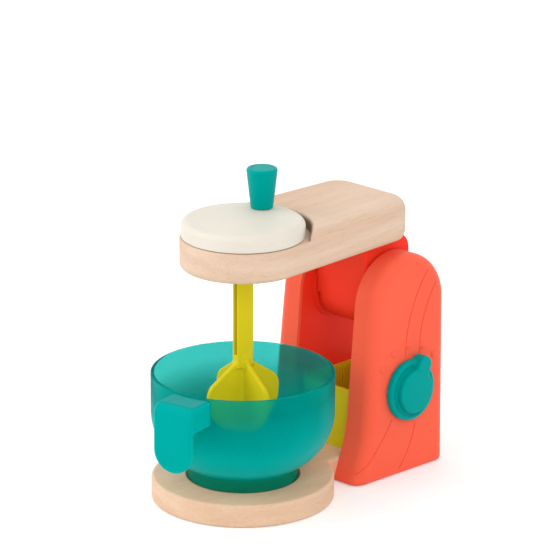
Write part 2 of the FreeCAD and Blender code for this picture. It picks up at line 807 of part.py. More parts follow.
knob_bottom = disc_top + seat_gap
knob_top = knob_bottom + knob_height
knob_well_floor = knob_top - knob_well_depth
knob_clip_z = knob_well_floor + seat_gap
knob_pin_top = knob_clip_z + knob_clip_thickness + knob_pin_tail


def knob_pin():
    head_end = knob_centre(disc_bottom + knob_pin_head_height)
    head = rod(knob_pin_head_radius, knob_centre(disc_bottom), head_end)
    return head.fuse(rod(knob_pin_radius, knob_centre(disc_bottom), knob_centre(knob_pin_top)))


def knob_clip():
    clip = rod(knob_clip_radius, knob_centre(knob_clip_z), knob_centre(knob_clip_z + knob_clip_thickness))
    clip_top = knob_clip_z + knob_clip_thickness
    return clip.cut(rod(knob_pin_radius, knob_centre(knob_clip_z - margin), knob_centre(clip_top + margin)))


def crank_knob():
    body = cone(knob_bottom_radius, knob_top_radius, knob_centre(knob_bottom), knob_centre(knob_top))
    body = body.makeFillet(knob_top_edge, edges_on(body, "z", knob_top))
    body = body.makeFillet(knob_bottom_edge, edges_on(body, "z", knob_bottom))
    body = body.cut(rod(knob_pin_radius + pin_gap, knob_centre(knob_bottom - margin), knob_centre(knob_top)))
    return body.cut(rod(knob_cap_radius, knob_centre(knob_well_floor), knob_centre(knob_top + margin)))


def knob_cap():
    low = knob_top - knob_cap_thickness
    body = rod(knob_cap_radius, knob_centre(low), knob_centre(knob_top))
    return body.makeFillet(knob_cap_edge, edges_on(body, "z", knob_top))


# Beater

def beater():
    half_w = beater_shaft_width / 2
    half_d = beater_shaft_depth / 2
    shaft_top = head_bottom - seat_gap
    shaft = block(vec(-half_d, -half_w, beater_neck - beater_shaft_overlap), vec(half_d, half_w, shaft_top))
    channel_half = half_d - beater_flange
    for side in (-1, 1):
        low_y = min(side * beater_web / 2, side * far)
        high_y = max(side * beater_web / 2, side * far)
        shaft = shaft.cut(block(vec(-channel_half, low_y, beater_neck + beater_channel_foot),
                                vec(channel_half, high_y, shaft_top - beater_flange)))
    blades = [beater_blade(0), beater_blade(90)]
    plug = block(vec(-socket_side / 2 + fit_gap, -socket_side / 2 + fit_gap, shaft_top - margin),
                 vec(socket_side / 2 - fit_gap, socket_side / 2 - fit_gap,
                     head_bottom + socket_depth - seat_gap))
    plug = plug.makeFillet(socket_corner, upright_edges(plug, plug.BoundBox.ZMin, plug.BoundBox.ZMax))
    return turned(fuse([shaft, plug] + blades), -beater_turn)


def beater_blade(angle):
    # One flat plate through the axis: sloping shoulders, short upright sides and a round bottom
    radius = beater_blade_radius
    half = beater_blade_thickness / 2
    y = -half
    tip = vec(0, y, beater_bottom)
    left = vec(-radius, y, beater_side_bottom)
    right = vec(radius, y, beater_side_bottom)
    wire = Part.Wire([
        Part.Arc(left, tip, right).toShape(),
        Part.LineSegment(right, vec(radius, y, beater_shoulder)).toShape(),
        Part.LineSegment(vec(radius, y, beater_shoulder), vec(0, y, beater_neck)).toShape(),
        Part.LineSegment(vec(0, y, beater_neck), vec(-radius, y, beater_shoulder)).toShape(),
        Part.LineSegment(vec(-radius, y, beater_shoulder), left).toShape(),
    ])
    plate = Part.Face(wire).extrude(vec(0, beater_blade_thickness, 0))
    plate = plate.makeFillet(beater_shoulder_edge, edges_on(plate, "z", beater_shoulder))
    return turned(plate, angle)


# Bowl

def revolve(points_and_edges):
    face = Part.Face(Part.Wire(points_and_edges))
    return face.revolve(vec(0, 0, 0), vec(0, 0, 1), 360)


def bowl_section_point(inset, angle):
    centre_r = bowl_radius - bowl_curve_radius
    centre_z = bowl_curve_centre_z
    radius = bowl_curve_radius - inset
    return vec(centre_r + radius * math.cos(math.radians(angle)), 0,
               centre_z - radius * math.sin(math.radians(angle)))


bowl_foot_z = base_thickness - recess_depth + seat_gap
bowl_foot_radius = recess_radius - 2 * seat_gap


def bowl_body(inset, top_z):
    # Upright wall, round shoulder and flat floor, as a closed solid of revolution
    side = bowl_section_point(inset, 0)
    shoulder = bowl_section_point(inset, 45)
    bottom = bowl_section_point(inset, 90)
    floor_centre = vec(0, 0, bottom.z)
    return revolve([
        Part.LineSegment(vec(0, 0, top_z), vec(side.x, 0, top_z)).toShape(),
        Part.LineSegment(vec(side.x, 0, top_z), side).toShape(),
        Part.Arc(side, shoulder, bottom).toShape(),
        Part.LineSegment(bottom, floor_centre).toShape(),
        Part.LineSegment(floor_centre, vec(0, 0, top_z)).toShape(),
    ])


def handle_blank():
    # Side outline of the handle: a deep arm, an outer bend and a hanging tongue
    top = handle_arm_top
    under = handle_arm_under
    outer = handle_reach
    inner = handle_inner_x
    root = handle_root_x
    bend = handle_bend
    fold = handle_inner_bend
    s = math.sqrt(0.5)
    points = [
        Part.LineSegment(vec(root, 0, top), vec(outer - bend, 0, top)).toShape(),
        Part.Arc(vec(outer - bend, 0, top), vec(outer - bend + bend * s, 0, top - bend + bend * s),
                 vec(outer, 0, top - bend)).toShape(),
        Part.LineSegment(vec(outer, 0, top - bend), vec(outer, 0, handle_bottom)).toShape(),
        Part.LineSegment(vec(outer, 0, handle_bottom), vec(inner, 0, handle_bottom)).toShape(),
        Part.LineSegment(vec(inner, 0, handle_bottom), vec(inner, 0, under - fold)).toShape(),
        Part.Arc(vec(inner, 0, under - fold), vec(inner - fold + fold * s, 0, under - fold + fold * s),
                 vec(inner - fold, 0, under)).toShape(),
        Part.LineSegment(vec(inner - fold, 0, under), vec(root, 0, under)).toShape(),
        Part.LineSegment(vec(root, 0, under), vec(root, 0, top)).toShape(),
    ]
    side = Part.Face(Part.Wire(points))
    side.translate(vec(0, -handle_width / 2, 0))
    return side.extrude(vec(0, handle_width, 0))


def handle_pockets():
    # Two pockets hollow the arm out from below, with a rib between them
    floor_z = handle_arm_under - handle_inner_bend - margin
    roof_z = handle_arm_top - handle_arm_skin
    rib_side = handle_arm_skin / 2
    wall_side = handle_width / 2 - handle_arm_skin
    right = block(vec(handle_root_x, rib_side, floor_z), vec(handle_inner_x, wall_side, roof_z))
    left = block(vec(handle_root_x, -wall_side, floor_z), vec(handle_inner_x, -rib_side, roof_z))
    return right.fuse(left)


def bowl_handle():
    blank = handle_blank()
    # Seen from outside, the tongue ends in a full half circle
    half = handle_width / 2
    centre_z = handle_bottom + half
    window = block(vec(0, -half, centre_z), vec(far, half, far))
    window = window.fuse(rod(half, vec(0, 0, centre_z), vec(far, 0, centre_z)))
    body = blank.common(window).removeSplitter()
    rim = []
    for edge in body.Edges:
        box = edge.BoundBox
        on_side = abs(abs(box.YMin) - half) < tolerance and abs(box.YMax - box.YMin) < tolerance
        on_end = box.ZMax < centre_z + tolerance and abs(box.XMax - box.XMin) < tolerance
        inside_wall = box.XMax < bowl_radius + fit_gap
        if (on_side or on_end) and not inside_wall:
            rim.append(edge)
    body = body.makeFillet(handle_edge, rim).cut(handle_pockets())
    return turned(body, handle_angle - 90)


def bowl():
    outer = bowl_body(0, bowl_rim)
    inner = bowl_body(bowl_wall, bowl_rim + margin)
    foot = rod(bowl_foot_radius, vec(0, 0, bowl_foot_z), vec(0, 0, bowl_curve_centre_z / 2))
    foot = foot.cut(rod(bowl_foot_radius - bowl_foot_wall, vec(0, 0, 0), vec(0, 0, bowl_curve_centre_z)))
    body = fuse([outer, foot, bowl_handle()]).cut(inner)
    return body.makeFillet(bowl_rim_edge, edges_on(body, "z", bowl_rim))


# Dial, built about the local X axis and then set on the leaning face

def dial_parts():
    inner_face = -column_wall
    wheel_outer = inner_face - seat_gap
    wheel_inner = wheel_outer - dial_wheel_thickness
    flange = rod(dial_radius, vec(seat_gap, 0, 0), vec(dial_flange_height, 0, 0))
    flange = flange.makeFillet(dial_edge, edges_on(flange, "x", dial_flange_height))
    boss = rod(dial_boss_radius, vec(seat_gap, 0, 0), vec(dial_boss_height, 0, 0))
    boss = boss.makeFillet(dial_edge, edges_on(boss, "x", dial_boss_height))
    half = dial_tab_width / 2
    tab_end = dial_tab_reach - half
    tab = fuse([block(vec(seat_gap, -half, 0), vec(dial_tab_height, half, tab_end)),
                rod(half, vec(seat_gap, 0, tab_end), vec(dial_tab_height, 0, tab_end))]).removeSplitter()
    tab = tab.makeFillet(dial_edge, [edge for edge in edges_on(tab, "x", dial_tab_height)
                                     if edge.BoundBox.ZMax > margin])
    tab.rotate(vec(0, 0, 0), vec(1, 0, 0), -dot_angle(dial_rest_dot))
    stub = rod(dial_stub_radius, vec(wheel_outer, 0, 0), vec(seat_gap + margin, 0, 0))
    knob = fuse([flange, boss, tab, stub])
    screw_tip = wheel_inner + dial_screw_length
    knob = knob.cut(rod(dial_screw_radius, vec(wheel_outer - margin, 0, 0), vec(screw_tip + seat_gap, 0, 0)))

    wheel_start = vec(wheel_inner - margin, 0, 0)
    wheel_end = vec(wheel_outer + margin, 0, 0)
    wheel = rod(dial_wheel_radius, vec(wheel_inner, 0, 0), vec(wheel_outer, 0, 0))
    for index in range(dial_dot_count):
        angle = math.radians(leaf_angle + dot_angle(index) - dot_angle(dial_rest_dot))
        place = vec(0, dial_wheel_radius * math.cos(angle), dial_wheel_radius * math.sin(angle))
        wheel = wheel.cut(rod(dial_notch_radius, wheel_start.add(place), wheel_end.add(place)))
    wheel = wheel.cut(rod(dial_screw_radius, wheel_start, wheel_end))

    head_start = vec(wheel_inner - dial_screw_head_height, 0, 0)
    head = rod(dial_screw_head_radius, head_start, vec(wheel_inner, 0, 0))
    shank = rod(dial_screw_radius, vec(wheel_inner, 0, 0), vec(screw_tip, 0, 0))
    return in_dial_frame(knob), in_dial_frame(wheel), in_dial_frame(head.fuse(shank))


def click_leaf():
    # A flat spring finger below the wheel, with its tip bent up beside the notches
    wheel_outer = -column_wall - seat_gap
    leaf_low = wheel_outer - leaf_width
    top = leaf_strip_top()
    strip = block(vec(leaf_low, -leaf_length - margin, top - leaf_thickness),
                  vec(wheel_outer, leaf_tip_radius, top))
    tip = rod(leaf_tip_radius, vec(leaf_low, 0, top + leaf_tip_radius),
              vec(wheel_outer, 0, top + leaf_tip_radius))
    stem = block(vec(leaf_low, -leaf_tip_radius, top - leaf_thickness),
                 vec(wheel_outer, leaf_tip_radius, top + leaf_tip_radius))
    hole_y, hole_z = leaf_screw_place()
    half = leaf_base_size / 2
    foot = block(vec(leaf_low, hole_y - half, hole_z - half), vec(-column_wall, hole_y + half, hole_z + half))
    body = fuse([strip, tip, stem, foot])
    body = body.cut(rod(case_screw_radius, vec(leaf_low - margin, hole_y, hole_z), vec(0, hole_y, hole_z)))
    start = vec(leaf_low, hole_y, hole_z)
    leaf_screw = fuse([
        rod(case_screw_head_radius, vec(leaf_low - screw_head_height, hole_y, hole_z), start),
        rod(case_screw_radius, start, vec(-column_wall + leaf_screw_bite, hole_y, hole_z)),
    ])
    return in_dial_frame(body), in_dial_frame(leaf_screw)


# Fasteners that come in groups

def case_screws():
    screws = []
    for side in (-1, 1):
        for y, z in case_screw_places:
            head = vec(side * column_inner_x, y, z)
            screws.append(screw(case_screw_radius, case_screw_head_radius, case_screw_length,
                                head, vec(side, 0, 0)))
    return Part.makeCompound(screws)


def base_screws():
    screws = []
    for side in (-1, 1):
        for y, z in base_screw_places:
            head = vec(side * (column_inner_x + cover_thickness), y, z)
            screws.append(screw(wood_screw_radius, wood_screw_head_radius, wood_screw_length,
                                head, vec(-side, 0, 0)))
    return Part.makeCompound(screws)


def bin_screws():
    return Part.makeCompound([
        screw(case_screw_radius, case_screw_head_radius, case_screw_length,
              vec(0, y, bin_floor_top), vec(0, 0, -1)) for y in bin_screw_y])


def hinge_screws():
    return Part.makeCompound([
        screw(case_screw_radius, case_screw_head_radius, hinge_screw_length,
              vec(x, y, hinge_screw_head_z), vec(0, 0, 1)) for x, y in hinge_screw_places])


def head_screws():
    return Part.makeCompound([
        screw(wood_screw_radius, wood_screw_head_radius, wood_screw_length,
              vec(x, y, head_bottom - hinge_roof), vec(0, 0, 1)) for x, y in head_screw_places])


def main():
    os.makedirs("parts", exist_ok=True)
    save(base_board(), "base_board")
    save(outer_shell(True), "right_outer_shell")
    save(mirrored(outer_shell(False)), "left_outer_shell")
    cover = inner_cover()
    save(cover, "right_inner_cover")
    save(mirrored(cover), "left_inner_cover")
    save(storage_bin(), "storage_bin")
    pin_end = column_inner_x + pin_seat_depth
    save(rod(pin_radius, vec(-pin_end, pivot_y, pivot_z), vec(pin_end, pivot_y, pivot_z)), "hinge_pin")
    case_screws().exportStep("parts/case_screws.step")
    base_screws().exportStep("parts/base_screws.step")
    bin_screws().exportStep("parts/bin_screws.step")
    leaf, leaf_screw = click_leaf()
    save(leaf, "click_leaf")
    save(leaf_screw, "click_leaf_screw")

    save(head_board(), "head_board")
    save(hinge_bracket(), "hinge_bracket")
    save(hinge_cap(), "hinge_cap")
    hinge_screws().exportStep("parts/hinge_screws.step")
    head_screws().exportStep("parts/head_screws.step")
    upper_flange = head_ledge - washer_thickness
    save(bush(upper_flange - bush_flange_thickness, upper_flange, upper_flange - bush_length), "upper_bush")
    lower_flange = head_bottom + spindle_collar_height + seat_gap
    save(bush(lower_flange, lower_flange + bush_flange_thickness, lower_flange + bush_length), "lower_bush")
    washer = rod(washer_radius, vec(0, 0, head_ledge - washer_thickness), vec(0, 0, head_ledge))
    washer = washer.cut(rod(spindle_radius + pin_gap, vec(0, 0, head_bottom), vec(0, 0, head_top)))
    save(washer, "thrust_washer")

    save(crank_disc(), "crank_disc")
    save(spindle(), "spindle")
    save(disc_screw(), "disc_screw")
    save(knob_pin(), "knob_pin")
    save(knob_clip(), "knob_clip")
    save(crank_knob(), "crank_knob")
    save(knob_cap(), "knob_cap")
    save(beater(), "beater")
    save(bowl(), "bowl")
    dial_knob, dial_wheel, dial_screw = dial_parts()
    save(dial_knob, "dial_knob")
    save(dial_wheel, "dial_wheel")
    save(dial_screw, "dial_screw")


main()
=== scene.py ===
import json
import math

import bpy
import numpy as np
from mathutils import Matrix, Vector


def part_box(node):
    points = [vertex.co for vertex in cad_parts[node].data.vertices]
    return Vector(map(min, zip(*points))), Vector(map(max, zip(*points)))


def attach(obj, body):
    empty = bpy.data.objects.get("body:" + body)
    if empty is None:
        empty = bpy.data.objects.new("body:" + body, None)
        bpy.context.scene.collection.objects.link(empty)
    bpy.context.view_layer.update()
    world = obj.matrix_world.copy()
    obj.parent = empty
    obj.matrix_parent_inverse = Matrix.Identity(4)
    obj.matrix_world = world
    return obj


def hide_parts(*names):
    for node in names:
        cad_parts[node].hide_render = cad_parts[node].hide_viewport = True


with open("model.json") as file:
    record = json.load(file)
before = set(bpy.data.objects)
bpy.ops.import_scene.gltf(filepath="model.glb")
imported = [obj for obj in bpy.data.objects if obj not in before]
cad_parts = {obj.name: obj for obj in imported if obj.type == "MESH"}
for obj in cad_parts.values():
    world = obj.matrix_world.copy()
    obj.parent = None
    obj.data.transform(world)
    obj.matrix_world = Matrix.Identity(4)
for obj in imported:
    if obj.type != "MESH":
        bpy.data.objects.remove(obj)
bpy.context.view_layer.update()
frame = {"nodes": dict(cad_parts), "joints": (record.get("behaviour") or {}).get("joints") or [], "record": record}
nodes = frame["nodes"]
MM = 0.001


# Node trees

# Sockets of the colour mix node, which has a set for each kind of data
MIX_FACTOR, MIX_FIRST, MIX_SECOND, MIX_RESULT = 0, 6, 7, 2
WHITE = (1, 1, 1)


class Graph:
    """A short way to build the node tree of a material or a world."""

    def __init__(self, owner, shader="Principled BSDF"):
        owner.use_nodes = True
        self.owner = owner
        self.tree = owner.node_tree
        self.shader = self.tree.nodes[shader]

    def feed(self, value, socket):
        """Links the value, or sets it where it is a plain number or colour."""
        if hasattr(value, "links"):
            self.tree.links.new(value, socket)
        else:
            socket.default_value = (*value, 1) if socket.type == "RGBA" else value

    def put(self, socket, value):
        self.feed(value, self.shader.inputs[socket])

    def node(self, kind, links=None, **values):
        """Makes a node. A value sets the input of its name or, where there is none, the setting."""
        made = self.tree.nodes.new(kind)
        for key, value in values.items():
            if key in made.inputs:
                self.feed(value, made.inputs[key])
            else:
                setattr(made, key, value)
        for key, value in (links or {}).items():
            self.feed(value, made.inputs[key])
        return made

    def surface(self, shader):
        self.feed(shader, self.tree.nodes["Material Output"].inputs["Surface"])

    def coords(self, scale=(1, 1, 1), offset=(0, 0, 0)):
        base = self.node("ShaderNodeTexCoord")
        links = {"Vector": base.outputs["Object"], "Scale": scale, "Location": offset}
        return self.node("ShaderNodeMapping", links).outputs["Vector"]

    def height(self):
        return self.node("ShaderNodeSeparateXYZ", {"Vector": self.coords()}).outputs["Z"]

    def radial(self):
        flat = self.coords((1, 1, 0))
        return self.node("ShaderNodeVectorMath", {0: flat}, operation="LENGTH").outputs["Value"]

    def maths(self, operation, first, second):
        return self.node("ShaderNodeMath", {0: first, 1: second}, operation=operation).outputs[0]

    def times(self, first, second):
        return self.maths("MULTIPLY", first, second)

    def larger(self, first, second):
        return self.maths("MAXIMUM", first, second)

    def smaller(self, first, second):
        return self.maths("MINIMUM", first, second)

    def remap(self, value, low, high, at_low, at_high):
        links = {"Value": value, "From Min": low, "From Max": high, "To Min": at_low, "To Max": at_high}
        return self.node("ShaderNodeMapRange", links).outputs["Result"]

    def span(self, value, low, high):
        return self.remap(value, 0, 1, low, high)

    def noise(self, vector, scale, detail=3.0, roughness=0.5):
        links = {"Vector": vector, "Scale": scale, "Detail": detail, "Roughness": roughness}
        return self.node("ShaderNodeTexNoise", links).outputs["Fac"]

    def ramp(self, value, stops):
        made = self.node("ShaderNodeValToRGB", {"Fac": value})
        for element, (place, colour) in zip(made.color_ramp.elements, stops):
            element.position = place
            element.color = (*colour, 1)
        return made.outputs["Color"]

    def mix(self, kind, factor, first, second):
        links = {MIX_FACTOR: factor, MIX_FIRST: first, MIX_SECOND: second}
        return self.node("ShaderNodeMix", links, data_type="RGBA", blend_type=kind).outputs[MIX_RESULT]

    def tint(self, tone, amount, low, high, colour):
        """Multiplies the tone by the colour where the amount is low, and leaves it where it is high."""
        return self.mix("MULTIPLY", 1.0, tone, self.ramp(amount, [(low, colour), (high, WHITE)]))

    def blend(self, factor, first, second):
        """A mix of two shaders."""
        return self.node("ShaderNodeMixShader", {0: factor, 1: first, 2: second}).outputs[0]

    def bump(self, height, strength, distance):
        links = {"Height": height, "Strength": strength, "Distance": distance}
        self.put("Normal", self.node("ShaderNodeBump", links).outputs["Normal"])

    def seen(self):
        """1 for a ray from the camera, straight or by way of a reflection or glass, and 0 for light."""
        path = self.node("ShaderNodeLightPath").outputs
        direct = self.larger(path["Is Camera Ray"], path["Is Glossy Ray"])
        return self.larger(direct, path["Is Transmission Ray"])


def new_look(name):
    return Graph(bpy.data.materials.new(name))


def srgb(red, green, blue):
    values = []
    for channel in (red, green, blue):
        c = channel / 255
        values.append(c / 12.92 if c <= 0.04045 else ((c + 0.055) / 1.055) ** 2.4)
    return tuple(values)


def shade(colour, factor):
    return tuple(min(1.0, c * factor) for c in colour)


MOTTLE_RAMP = (0.3, 0.7)


def mottled(g, amount, colour, darkest, lightest):
    """The colour, shaded by one factor where the amount is low and by the other where it is high."""
    stops = zip(MOTTLE_RAMP, (shade(colour, darkest), shade(colour, lightest)))
    return g.ramp(amount, list(stops))


# Plastics. Texture scales are in features per metre, and lengths in metres

FLOW_CLOUDS = 28
FLOW_SHADES = (0.97, 1.02)
GLOSS_PATCHES = 60
GLOSS_SPREAD = 0.04
EGGSHELL = 900
EGGSHELL_STRENGTH = 0.25
FINE_BUMP = 0.00002
GLOW_REACH = (0.004, 0.002, 0.0012)


def moulded(name, colour, roughness=0.42, sheen=0.3, glow=0.08):
    """Satin moulded plastic: even colour with faint flow clouds and a fine eggshell texture."""
    g = new_look(name)
    clouds = g.noise(g.coords(), FLOW_CLOUDS, 4)
    patches = g.noise(g.coords(), GLOSS_PATCHES)
    g.put("Base Color", mottled(g, clouds, colour, *FLOW_SHADES))
    g.put("Roughness", g.span(patches, roughness - GLOSS_SPREAD, roughness + GLOSS_SPREAD))
    g.bump(g.noise(g.coords(), EGGSHELL, 2), EGGSHELL_STRENGTH, FINE_BUMP)
    g.put("Specular IOR Level", sheen)
    g.put("Specular Tint", colour)
    g.put("Subsurface Weight", glow)
    g.put("Subsurface Radius", GLOW_REACH)
    g.put("Subsurface Scale", 1.0)
    return g.owner


# Beech with its grain along Y. Each texture has its stretch, its scale and its ramp

LAYER_STRETCH = (0.30, 0.05, 1.0)
LAYER_SCALE = 95
LAYER_RAMP = (0.30, 0.62)
DRIFT_STRETCH = (1.0, 0.35, 1.0)
DRIFT_SCALE = 16
DRIFT_RAMP = (0.3, 0.7)
DRIFT_TINT = (0.955, 0.945, 0.94)
FIBRE_STRETCH = (0.6, 0.03, 1.0)
FIBRE_SCALE = 1100
FIBRE_RAMP = (0.35, 0.65)
FIBRE_TINT = (0.955, 0.94, 0.925)
SPECK_STRETCH = (0.8, 0.16, 1.0)
SPECK_SCALE = 760
SPECK_RAMP = (0.26, 0.40)
SPECK_TINT = (0.945, 0.905, 0.865)
FIBRE_BUMP = 0.00005
FIBRE_STRENGTH = 0.30
WOOD_ROUGHNESS = (0.55, 0.68)
WOOD_SHEEN = 0.25
# Painted shade: how dark the wood is made over a shadowed gap, and how its edges fade
PAINTED_GAP_SHADE = 0.35
GAP_SHADE_BOTTOM_FADE = 0.0004
GAP_SHADE_TOP_FADE = 0.002


def beech(name, offset, light, dark, gap_shade):
    """Pale beech: growth layers, soft drift, fine fibres, small flecks, and a ring of painted shade over a gap in
    shadow.
    """
    g = new_look(name)
    layers = g.noise(g.coords(LAYER_STRETCH, offset), LAYER_SCALE, 4, 0.6)
    drift = g.noise(g.coords(DRIFT_STRETCH, offset), DRIFT_SCALE, 2)
    fibres = g.noise(g.coords(FIBRE_STRETCH, offset), FIBRE_SCALE)
    specks = g.noise(g.coords(SPECK_STRETCH, offset), SPECK_SCALE, 1)
    tone = g.ramp(layers, [(LAYER_RAMP[0], dark), (LAYER_RAMP[1], light)])
    tone = g.tint(tone, drift, *DRIFT_RAMP, DRIFT_TINT)
    tone = g.tint(tone, fibres, *FIBRE_RAMP, FIBRE_TINT)
    tone = g.tint(tone, specks, *SPECK_RAMP, SPECK_TINT)
    # Painted shade: the ring over the shadowed gap is mixed towards a dark wood tone
    g.put("Base Color", g.mix("MIX", painted_gap_shade_mask(g, **gap_shade), tone, shade(dark, PAINTED_GAP_SHADE)))
    g.put("Roughness", g.span(fibres, *WOOD_ROUGHNESS))
    g.bump(fibres, FIBRE_STRENGTH, FIBRE_BUMP)
    g.put("Specular IOR Level", WOOD_SHEEN)
    return g.owner


def painted_gap_shade_mask(g, inner, outer, fade, bottom, top):
    """1 in the ring between two radii and two heights, with soft ends."""
    ring = g.times(g.remap(g.radial(), inner, inner + fade, 0, 1),
                   g.remap(g.radial(), outer, outer + fade, 1, 0))
    band = g.times(g.remap(g.height(), bottom - GAP_SHADE_BOTTOM_FADE, bottom, 0, 1),
                   g.remap(g.height(), top - GAP_SHADE_TOP_FADE, top, 1, 0))
    return g.times(ring, band)


# Zinc-plated screws and pins

SCUFF_SCALE = 700
SCUFF_SHADES = (0.88, 1.0)
SCUFF_STRENGTH = 0.2
POLISHED, DULL = -0.07, 0.08


def metal(name, colour, roughness):
    g = new_look(name)
    scuffs = g.noise(g.coords(), SCUFF_SCALE, 4)
    g.put("Base Color", mottled(g, scuffs, colour, *SCUFF_SHADES))
    g.put("Roughness", g.span(scuffs, roughness + POLISHED, roughness + DULL))
    g.bump(scuffs, SCUFF_STRENGTH, FINE_BUMP)
    g.put("Metallic", 1.0)
    return g.owner


# Translucent bowl. Heights are from the floor, or below the arm's top, and PAST values lie beyond the
# bowl's outer radius. CLEAR values are the share of light that passes at the two ends of a range

BOWL_CLOUDS = 24
BOWL_SHADES = (0.97, 1.03)
BOWL_GLOSS_PATCHES = 40
BOWL_ROUGHNESS = (0.26, 0.34)
BOWL_EGGSHELL = 500
BOWL_EGGSHELL_STRENGTH = 0.2
BOWL_SHEEN = 0.04
BOWL_GLOW_REACH = (0.0008, 0.003, 0.003)
FROST_ROUGHNESS = 0.22
FROST_IOR = 1.14
LIGHT_PASSED = (0.86, 0.92, 0.89)
# Painted shade: the foot is tinted darker and greener between these heights, standing in for the shadowed recess
# seen through its double wall
FOOT_SHADE_HEIGHTS = (0.0215, 0.0245)
# Painted shade: the factor that darkens the flat top of the handle's arm
ARM_TOP_PAINTED_SHADE = 0.74
ARM_TOP_BELOW = (0.0006, 0.0002)
ARM_ROOT_PAST = (-0.0002, 0.0006)
BODY_HEIGHTS = (0.042, 0.072)
BODY_CLEAR = (0.16, 0.70)
FOOT_HEIGHTS = (0.020, 0.025)
FOOT_CLEAR = (0.45, 0.0)
HANDLE_ROOT_PAST = (0.0003, 0.0015)
HANDLE_CLEAR = (0.7, 0.10)
LIGHT_CLEAR = 0.72


def milky(name, colour, foot_shade_colour, stain, outer_radius, arm_top):
    """Translucent moulded plastic: clear near the rim and at the foot, milky between and in the handle."""
    g = new_look(name)
    height, radial = g.height(), g.radial()
    clouds = g.noise(g.coords(), BOWL_CLOUDS, 4)
    tone = mottled(g, clouds, colour, *BOWL_SHADES)
    # Painted shade: the foot's darker, greener tone
    tone = g.mix("MIX", g.remap(height, *FOOT_SHADE_HEIGHTS, 1, 0), tone, foot_shade_colour)
    # Painted shade: the flat top of the handle's arm gets a darker tone
    arm_heights = [arm_top - below for below in ARM_TOP_BELOW]
    arm_radii = [outer_radius + past for past in ARM_ROOT_PAST]
    arm_top_shade_mask = g.times(g.remap(height, *arm_heights, 0, 1), g.remap(radial, *arm_radii, 0, 1))
    g.put("Base Color", g.mix("MIX", arm_top_shade_mask, tone, shade(colour, ARM_TOP_PAINTED_SHADE)))
    g.put("Roughness", g.span(g.noise(g.coords(), BOWL_GLOSS_PATCHES), *BOWL_ROUGHNESS))
    g.bump(g.noise(g.coords(), BOWL_EGGSHELL, 2), BOWL_EGGSHELL_STRENGTH, FINE_BUMP)
    g.put("Specular Tint", colour)
    g.put("Specular IOR Level", BOWL_SHEEN)
    g.put("Subsurface Weight", 1.0)
    g.put("Subsurface Radius", BOWL_GLOW_REACH)
    g.put("Subsurface Scale", 1.0)
    path = g.node("ShaderNodeLightPath").outputs
    light = g.larger(path["Is Shadow Ray"], path["Is Diffuse Ray"])
    frosted = g.node("ShaderNodeBsdfRefraction", Color=stain, Roughness=FROST_ROUGHNESS, IOR=FROST_IOR)
    passed = g.node("ShaderNodeBsdfTransparent", Color=LIGHT_PASSED)
    through = g.blend(light, frosted.outputs[0], passed.outputs[0])
    handle_radii = [outer_radius + past for past in HANDLE_ROOT_PAST]
    clear = g.larger(g.remap(height, *BODY_HEIGHTS, *BODY_CLEAR),
                     g.remap(height, *FOOT_HEIGHTS, *FOOT_CLEAR))
    clear = g.smaller(clear, g.remap(radial, *handle_radii, *HANDLE_CLEAR))
    clear = g.larger(clear, g.times(light, LIGHT_CLEAR))
    g.surface(g.blend(clear, g.shader.outputs[0], through))
    return g.owner


# Looks of the nodes and of the material slots

RECESS_RADIUS = 0.0355
# Painted shade over the shadowed gap round the bowl's foot: its radii, fade and height
RECESS_GAP_SHADE = (-0.0010, 0.0005)
RECESS_GAP_SHADE_FADE = 0.0006
RECESS_GAP_SHADE_HALF_HEIGHT = 0.004
# Painted shade over the shadowed gap behind the disc: its radii, fade and drop
DISC_GAP_SHADE = (0.0008, 0.0036)
DISC_GAP_SHADE_FADE = 0.0015
DISC_GAP_SHADE_DROP = 0.0005
HANDLE_DROP = 0.0008


def recess_gap_shade():
    """Where painted shade darkens the wood: the shadowed gap round the bowl's foot."""
    inner, outer = (RECESS_RADIUS + past for past in RECESS_GAP_SHADE)
    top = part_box("base_board")[1].z
    return dict(inner=inner, outer=outer, fade=RECESS_GAP_SHADE_FADE,
                bottom=top - RECESS_GAP_SHADE_HALF_HEIGHT, top=top + RECESS_GAP_SHADE_HALF_HEIGHT)


def disc_gap_shade():
    """Where painted shade darkens the wood: the shadowed gap between the disc and the step behind it."""
    low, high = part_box("crank_disc")
    inner, outer = (high.x + past for past in DISC_GAP_SHADE)
    return dict(inner=inner, outer=outer, fade=DISC_GAP_SHADE_FADE, bottom=low.z, top=high.z - DISC_GAP_SHADE_DROP)


bowl_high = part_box("bowl")[1]

coral = moulded("coral_plastic_look", srgb(255, 102, 75), 0.45, glow=0.03)
# A darker, redder copy of the same coral plastic: painted shade and bounced red light for the inner covers and the
# hinge
coral_painted_shade = moulded("coral_plastic_painted_shade_look", srgb(255, 64, 42), 0.45, glow=0.03)
teal = moulded("teal_plastic_look", srgb(0, 158, 152), sheen=0.08)
lime = moulded("lime_plastic_look", srgb(221, 205, 32))
cream = moulded("cream_plastic_look", srgb(227, 220, 207), 0.5)
nylon = moulded("nylon_look", srgb(226, 224, 216), 0.5)
steel = metal("steel_look", srgb(188, 188, 190), 0.34)
# Each board's beech carries a ring of painted shade over a gap in shadow
base_wood = beech("base_wood_look", (0.013, 0.02, 0.031), srgb(240, 207, 178), srgb(228, 188, 155),
                  recess_gap_shade())
head_wood = beech("head_wood_look", (0.35, 0.11, 0.20), srgb(232, 205, 182), srgb(220, 188, 161),
                  disc_gap_shade())
# The second colour is painted shade for the foot
bowl_look = milky("bowl_plastic_look", srgb(0, 172, 167), srgb(0, 140, 113), srgb(146, 244, 240),
                  bowl_high.y, bowl_high.z - HANDLE_DROP)

